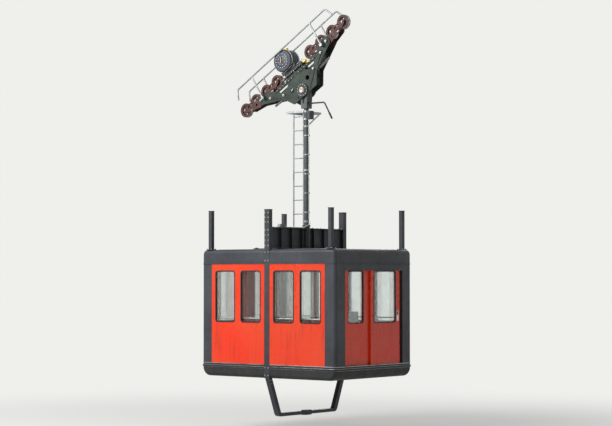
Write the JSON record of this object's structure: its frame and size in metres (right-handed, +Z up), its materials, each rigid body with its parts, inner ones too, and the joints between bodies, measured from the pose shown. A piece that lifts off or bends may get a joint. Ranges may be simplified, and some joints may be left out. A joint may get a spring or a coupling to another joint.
{
  "type": "cable car cabin",
  "caption": "Red and slate aerial tramway cabin hung by a tube and ladder from an inclined wheeled carriage, with sliding end doors and a guide hoop below.",
  "frame": {"origin": "on the track rope's axis at the middle of the carriage", "axes": "+X uphill along the plan of the rope, +Z up, +Y to the left of someone who faces uphill"},
  "size_m": [3.5418, 2.55, 8.35],
  "materials": {
    "frame_green": "satin paint, weathered",
    "red_oxide": "red oxide paint, greasy",
    "bright_steel": "machined",
    "brake_black": "oily black paint",
    "drum_grey": "satin enamel",
    "rail_steel": "hot-dip galvanised",
    "hanger_grey": "satin paint",
    "frame_slate": "satin paint",
    "skirt_black": "satin paint, scuffed",
    "cabin_red": "gloss enamel, weathered",
    "window_glass": "clear safety glass",
    "pole_steel": "brushed",
    "console_grey": "textured paint"
  },
  "bodies": {
    "carriage": {"carriage_main_frame": "frame_green", "main_pin": "bright_steel", "damper_discs": "brake_black", "rocker_downhill": "red_oxide", "rocker_uphill": "red_oxide", "truck_1": "red_oxide", "truck_2": "red_oxide", "truck_3": "red_oxide", "truck_4": "red_oxide", "track_rope_brake": "brake_black", "hydraulic_drum": "drum_grey", "drum_cradle": "brake_black", "haul_rope_socket_downhill": "bright_steel", "haul_rope_socket_uphill": "bright_steel", "carriage_handrail": "rail_steel", "brake_cylinders": "brake_black"},
    "cabin": {"hanger_head": "hanger_grey", "hanger_arm": "hanger_grey", "hanger_ladder": "rail_steel", "roof_cross_beam": "frame_slate", "frame_leg_near": "frame_slate", "frame_leg_far": "frame_slate", "underfloor_guide_hoop": "frame_slate", "corner_roof_posts": "frame_slate", "floor_pan": "skirt_black", "roof_shell": "frame_slate", "corner_pillars": "frame_slate", "side_wall_near_downhill": "cabin_red", "side_wall_near_uphill": "cabin_red", "side_wall_far_downhill": "cabin_red", "side_wall_far_uphill": "cabin_red", "side_glass_near": "window_glass", "side_glass_far": "window_glass", "end_wall_uphill": "cabin_red", "end_wall_downhill": "cabin_red", "end_glass_uphill": "window_glass", "end_glass_downhill": "window_glass", "door_track_uphill": "frame_slate", "door_track_downhill": "frame_slate", "grab_poles": "pole_steel", "operator_console": "console_grey", "roof_lamp": "console_grey", "service_platform": "rail_steel", "brake_release_lever": "brake_black", "window_rails": "pole_steel"},
    "wheel_1": {"wheel_1": "red_oxide"},
    "wheel_2": {"wheel_2": "red_oxide"},
    "wheel_3": {"wheel_3": "red_oxide"},
    "wheel_4": {"wheel_4": "red_oxide"},
    "wheel_5": {"wheel_5": "red_oxide"},
    "wheel_6": {"wheel_6": "red_oxide"},
    "wheel_7": {"wheel_7": "red_oxide"},
    "wheel_8": {"wheel_8": "red_oxide"},
    "door_uphill": {"door_uphill": "cabin_red", "door_glass_uphill": "window_glass"},
    "door_downhill": {"door_downhill": "cabin_red", "door_glass_downhill": "window_glass"},
    "roof_hatch": {"roof_hatch": "frame_slate"},
    "floor_hatch": {"floor_hatch": "console_grey"}
  },
  "joints": [
    {"name": "hanger_swing", "type": "hinge", "parent": "carriage", "child": "cabin", "pos_m": [0.24178, 0, -0.37953], "axis": [0, 1, 0], "range_deg": [-20, 20]},
    {"name": "wheel_1_spin", "type": "hinge", "parent": "carriage", "child": "wheel_1", "pos_m": [-1.39, 0, -0.70293], "axis": [0, 1, 0], "continuous": true},
    {"name": "wheel_2_spin", "type": "hinge", "parent": "carriage", "child": "wheel_2", "pos_m": [-1.10325, 0, -0.52025], "axis": [0, 1, 0], "continuous": true},
    {"name": "wheel_3_spin", "type": "hinge", "parent": "carriage", "child": "wheel_3", "pos_m": [-0.81649, 0, -0.33757], "axis": [0, 1, 0], "continuous": true},
    {"name": "wheel_4_spin", "type": "hinge", "parent": "carriage", "child": "wheel_4", "pos_m": [-0.52974, 0, -0.15489], "axis": [0, 1, 0], "continuous": true},
    {"name": "wheel_5_spin", "type": "hinge", "parent": "carriage", "child": "wheel_5", "pos_m": [0.36425, 0, 0.41465], "axis": [0, 1, 0], "continuous": true},
    {"name": "wheel_6_spin", "type": "hinge", "parent": "carriage", "child": "wheel_6", "pos_m": [0.65101, 0, 0.59733], "axis": [0, 1, 0], "continuous": true},
    {"name": "wheel_7_spin", "type": "hinge", "parent": "carriage", "child": "wheel_7", "pos_m": [0.93776, 0, 0.78002], "axis": [0, 1, 0], "continuous": true},
    {"name": "wheel_8_spin", "type": "hinge", "parent": "carriage", "child": "wheel_8", "pos_m": [1.22451, 0, 0.9627], "axis": [0, 1, 0], "continuous": true},
    {"name": "door_uphill_slide", "type": "slide", "parent": "cabin", "child": "door_uphill", "axis": [0, -1, 0], "range_m": [0, 0.76]},
    {"name": "door_downhill_slide", "type": "slide", "parent": "cabin", "child": "door_downhill", "axis": [0, 1, 0], "range_m": [0, 0.76]},
    {"name": "roof_hatch_swing", "type": "hinge", "parent": "cabin", "child": "roof_hatch", "pos_m": [-0.93822, 0, -3.655], "axis": [0, -1, 0], "range_deg": [0, 110]},
    {"name": "floor_hatch_swing", "type": "hinge", "parent": "cabin", "child": "floor_hatch", "pos_m": [1.42179, 0, -6.021], "axis": [0, 1, 0], "range_deg": [0, 95]}
  ]
}
